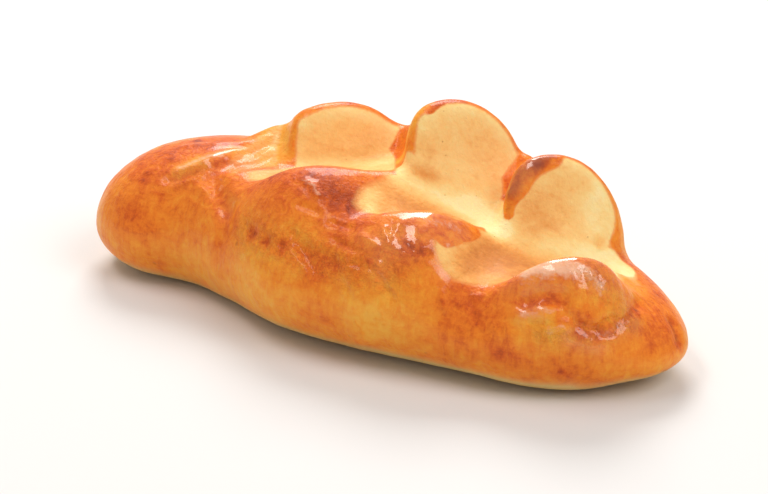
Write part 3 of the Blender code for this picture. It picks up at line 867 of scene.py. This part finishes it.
CRUST_STOPS = (
    (0.0, (0.94, 0.45, 0.058)),
    (0.22, (0.92, 0.335, 0.031)),
    (0.45, (0.86, 0.222, 0.018)),
    (0.65, (0.70, 0.125, 0.012)),
    (0.82, (0.48, 0.068, 0.010)),
    (1.0, (0.27, 0.036, 0.009)),
)
CRUMB_STOPS = (
    (0.0, (0.54, 0.185, 0.045)),
    (0.16, (0.66, 0.25, 0.060)),
    (0.36, (0.84, 0.37, 0.095)),
    (0.62, (0.96, 0.58, 0.20)),
    (0.85, (0.975, 0.71, 0.29)),
    (1.0, (0.985, 0.80, 0.39)),
)
# Colour of the charred places, also used as painted shade in the dent, trough and slit
BURNT_AND_SHADE_COLOUR = (0.29, 0.050, 0.016)
BLISTER = (0.45, 0.075, 0.015)
# Colour of the painted highlights
HIGHLIGHT_PINK = (0.98, 0.58, 0.37)
PORE = (0.55, 0.22, 0.06)
LIP = (0.84, 0.30, 0.08)
UNDERSIDE = (0.80, 0.55, 0.22)


# Grain of the dough: size in millimetres, detail, roughness, distortion
GRAINS = {
    "broad": (13.0, 3.0, 0.55, 0.4),
    "middling": (3.6, 4.0, 0.6, 0.6),
    "fine": (0.9, 3.0, 0.6, 0.0),
    "speckle": (0.35, 2.0, 0.5, 0.0),
    "runs": (1.6, 3.0, 0.6, 0.6),
    "strands": (1.3, 3.0, 0.6, 0.3),
}
# Grain that runs one way: scale along each axis, and turn
DRAWN_OUT = {
    "runs": ((1.0, 1.0, 0.25), (0.0, 0.0, 0.0)),
    "strands": ((0.25, 1.0, 1.0), (0.0, 0.0, -0.5)),
}
# How strongly each grain shows in the brownness of the crust (with its painted light and shade), the
# crumb, the painted highlights and the cut edge
BROWNING_GRAIN = {
    "broad": 0.65,
    "middling": 0.50,
    "runs": 0.45,
    "strands": 0.25,
    "fine": 0.30,
    "speckle": 0.15,
}
CRUMB_GRAIN = {"broad": 0.45, "middling": 0.40, "strands": 0.25, "fine": 0.15}
HIGHLIGHT_GRAIN = {"strands": 1.2, "fine": 0.8}
CUT_GRAIN = {"fine": 0.30, "middling": 0.25}
BURNT_AND_SHADE_GRAIN = 0.6
# Painted shade: how much darker the crust is drawn in pressed folds and wrinkles
PAINTED_CREASE_SHADE = 0.12

# Blisters and pores: spacing, edge as shares of it, size of their patches, edge of the patches
BLISTERS = (5.0, (0.15, 0.05), 14.0, (0.5, 0.62))
PORES = (2.3, (0.10, 0.03), 6.0, (0.5, 0.6))
PATCH_DETAIL = 1.0

# Ranges of the masks over which each look starts, and over which the lip ends
STROKE_EDGE = (0.02, 0.3)
HIGHLIGHT_EDGE = (0.25, 1.0)
BURNT_AND_SHADE_EDGE = (0.15, 0.95)
GLOSSED_EDGE = (0.0, 0.9)
CUT_EDGE = (0.2, 0.85)
LIP_START = (0.02, 0.5)
LIP_END = (0.5, 0.98)

# How much of each colour shows where it is full
BLISTER_SHARE = 0.35
HIGHLIGHT_SHARE = 0.8
BURNT_AND_SHADE_SHARE = 0.9
PORE_SHARE = 0.45
LIP_SHARE = 0.4
UNDERSIDE_SHARE = 0.85

# Fine relief: the height that its shares are taken of, and the shares
RELIEF = 0.40 * MM
FINE_RELIEF = 0.40
SPECKLE_RELIEF = 0.12
MIDDLING_RELIEF = 1.1
RUNS_RELIEF = 0.6
STRANDS_RELIEF = 0.3
STRETCHED_RELIEF = 0.6
WRINKLE_RELIEF = 0.7
MARK_RELIEF = 0.3
WRINKLE_GRAIN = (1.5, 3.0, 0.6, 1.2)
WRINKLE_WIDTH = 0.12

# Roughness of the crumb, what the crust takes off and the underside adds
CRUMB_ROUGHNESS = 0.55
CRUST_SMOOTHNESS = 0.12
UNDERSIDE_ROUGHNESS = 0.2
# Egg wash on plain crust, what glossy places add, and the trace of it on the crumb
THIN_WASH = 0.16
THICK_WASH = 0.84
CRUMB_WASH = 0.03


def dough_grains(finish):
    """The grains that the colours and the relief share."""
    grains = {}
    for name, numbers in GRAINS.items():
        place = finish.drawn_out(*DRAWN_OUT[name]) if name in DRAWN_OUT else finish.place
        grains[name] = finish.grain(*numbers, place) - NOISE_MIDDLE
    return grains


def uneven(level, grains, shares):
    """The level, made uneven by each grain as strongly as its share says."""
    for name, share in shares.items():
        level = level + grains[name] * share
    return level


def crust_colour(finish, grains, blister):
    """Toasted, blistered crust with charred places, painted highlights, painted shade in the creases,
    dents and slit, and painted light where it lies in shade.
    """
    browning_and_painted_light = uneven(finish.mask("toast_and_painted_light"), grains, BROWNING_GRAIN)
    # Painted shade in the pressed folds and wrinkles
    browning_and_painted_light = browning_and_painted_light + finish.mask("crease_shade") * PAINTED_CREASE_SHADE
    crust = finish.ramp(browning_and_painted_light, CRUST_STOPS)
    crust = finish.blend(blister * BLISTER_SHARE, crust, BLISTER)
    # Painted highlights: pale pink streaks on the crests and fold lips
    painted_highlight = finish.mask("painted_highlight")
    highlight_streaks = uneven(painted_highlight, grains, HIGHLIGHT_GRAIN).between(*HIGHLIGHT_EDGE)
    crust = finish.blend(highlight_streaks * painted_highlight.between(*STROKE_EDGE) * HIGHLIGHT_SHARE, crust, HIGHLIGHT_PINK)
    scorched_and_shaded = finish.mask("scorched_and_shaded")
    charred_and_shade = scorched_and_shaded + grains["middling"] * BURNT_AND_SHADE_GRAIN * scorched_and_shaded.between(*STROKE_EDGE)
    return finish.blend(charred_and_shade.between(*BURNT_AND_SHADE_EDGE) * BURNT_AND_SHADE_SHARE, crust, BURNT_AND_SHADE_COLOUR)


def crumb_colour(finish, grains, pores):
    """Pale, finely pored dough of the cut faces."""
    tone = uneven(finish.mask("crumb_tone"), grains, CRUMB_GRAIN)
    return finish.blend(pores * PORE_SHARE, finish.ramp(tone, CRUMB_STOPS), PORE)


def fine_relief(finish, grains, skin, blister, pores):
    """Height of the relief that is too fine for the mesh."""
    wrinkle = (finish.grain(*WRINKLE_GRAIN) - NOISE_MIDDLE).size().between(WRINKLE_WIDTH, 0.0)
    height = grains["fine"] * FINE_RELIEF + grains["speckle"] * SPECKLE_RELIEF
    height = height + grains["middling"] * MIDDLING_RELIEF * skin + grains["runs"] * RUNS_RELIEF
    height = height - wrinkle * finish.mask("crinkled") * WRINKLE_RELIEF * skin
    height = height - blister * MARK_RELIEF - pores * MARK_RELIEF
    return height + grains["strands"] * (finish.mask("stretched") * STRETCHED_RELIEF + STRANDS_RELIEF)


def baked_crust():
    finish = Finish("baked_crust")
    grains = dough_grains(finish)
    blister = finish.marks(*BLISTERS)
    pores = finish.marks(*PORES)
    cut = uneven(finish.mask("pale"), grains, CUT_GRAIN).between(*CUT_EDGE)
    lip = cut.between(*LIP_START) * (1 - cut.between(*LIP_END))
    under = finish.mask("under")
    crust = crust_colour(finish, grains, blister)
    colour = finish.blend(cut, crust, crumb_colour(finish, grains, pores))
    colour = finish.blend(lip * LIP_SHARE, colour, LIP)
    colour = finish.blend(under * UNDERSIDE_SHARE, colour, UNDERSIDE)
    skin = 1 - cut
    finish.bump(fine_relief(finish, grains, skin, blister, pores), RELIEF)
    gloss = finish.mask("glossed").between(*GLOSSED_EDGE)
    finish.set(
        Base_Color=colour,
        Roughness=CRUMB_ROUGHNESS - skin * CRUST_SMOOTHNESS + under * UNDERSIDE_ROUGHNESS,
        Specular_IOR_Level=0.10,
        Coat_Weight=skin * (THIN_WASH + gloss * THICK_WASH) + cut * CRUMB_WASH,
        Coat_Roughness=0.12,
        Coat_IOR=1.7,
        Subsurface_Weight=0.10,
        Subsurface_Radius=(1.0, 0.4, 0.15),
        Subsurface_Scale=2.0 * MM,
    )
    return finish.material


FLOOR_COLOUR = (0.76, 0.75, 0.74, 1.0)
FLOOR_ROUGHNESS = 0.9


def studio_floor():
    finish = Finish("studio_floor")
    finish.set(Base_Color=FLOOR_COLOUR, Roughness=FLOOR_ROUGHNESS, Specular_IOR_Level=0.1)
    return finish.material


# The studio: camera, floor and soft light.

AZIMUTH = 33.0
ELEVATION = 24.0
DISTANCE = 0.60
PIXELS_PER_MM = 4.2
FRAME_WIDTH = 768
FRAME_HEIGHT = 494
TARGET_PIXEL = (378.0, 308.0)
SENSOR = 36.0
NEAR_CLIP = 0.01
FLOOR_REACH = 3.0
FLOOR_CELLS = 8
SKY_COLOUR = (1.0, 0.97, 0.94, 1.0)
SKY_STRENGTH = 0.45

# Lamps: name, azimuth, elevation, distance, width, height, power, colour
LAMPS = (
    ("key_light", 214.0, 43.0, 1.2, 0.56, 0.56, 11.0, (1.0, 0.99, 0.98)),
    ("window_light", 308.0, 66.0, 1.0, 0.80, 0.20, 2.8, (1.0, 0.93, 0.86)),
    ("fill_light", 85.0, 48.0, 1.2, 0.7, 0.7, 5.0, (1.0, 0.99, 0.98)),
)


def facing(azimuth, elevation):
    """The way from the bun to a place at that azimuth and elevation."""
    a, e = math.radians(azimuth), math.radians(elevation)
    return Vector((math.sin(a) * math.cos(e), -math.cos(a) * math.cos(e), math.sin(e)))


def make_camera():
    data = bpy.data.cameras.new("camera")
    data.sensor_width = SENSOR
    data.lens = PIXELS_PER_MM / MM * DISTANCE * SENSOR / FRAME_WIDTH
    data.shift_x = (FRAME_WIDTH / 2 - TARGET_PIXEL[0]) / FRAME_WIDTH
    data.shift_y = (TARGET_PIXEL[1] - FRAME_HEIGHT / 2) / FRAME_WIDTH
    data.clip_start = NEAR_CLIP
    camera = bpy.data.objects.new("camera", data)
    back = facing(AZIMUTH, ELEVATION)
    camera.location = Vector(-MIDDLE * MM) + back * DISTANCE
    camera.rotation_mode = "QUATERNION"
    camera.rotation_quaternion = (-back).to_track_quat("-Z", "Y")
    bpy.context.scene.collection.objects.link(camera)
    bpy.context.scene.camera = camera


def make_floor():
    bm = bmesh.new()
    bmesh.ops.create_grid(bm, x_segments=FLOOR_CELLS, y_segments=FLOOR_CELLS, size=FLOOR_REACH)
    mesh = bpy.data.meshes.new("studio_floor")
    bm.to_mesh(mesh)
    bm.free()
    mesh.materials.append(studio_floor())
    floor = bpy.data.objects.new("studio_floor", mesh)
    bpy.context.scene.collection.objects.link(floor)


def soft_light(name, azimuth, elevation, distance, width, height, power, colour):
    data = bpy.data.lights.new(name, "AREA")
    data.shape = "RECTANGLE"
    data.size = width
    data.size_y = height
    data.energy = power
    data.color = colour
    light = bpy.data.objects.new(name, data)
    way = facing(azimuth, elevation)
    light.location = way * distance
    light.rotation_mode = "QUATERNION"
    light.rotation_quaternion = way.to_track_quat("Z", "Y")
    bpy.context.scene.collection.objects.link(light)


def make_light():
    world = bpy.data.worlds.new("studio")
    bpy.context.scene.world = world
    world.use_nodes = True
    background = world.node_tree.nodes["Background"]
    background.inputs["Color"].default_value = SKY_COLOUR
    background.inputs["Strength"].default_value = SKY_STRENGTH
    for lamp in LAMPS:
        soft_light(*lamp)
    bpy.context.scene.view_settings.view_transform = "Standard"


make_camera()
make_floor()
make_light()
bun = make_bun(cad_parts["bun"], baked_crust())
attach(bun, "root")
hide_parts("bun")
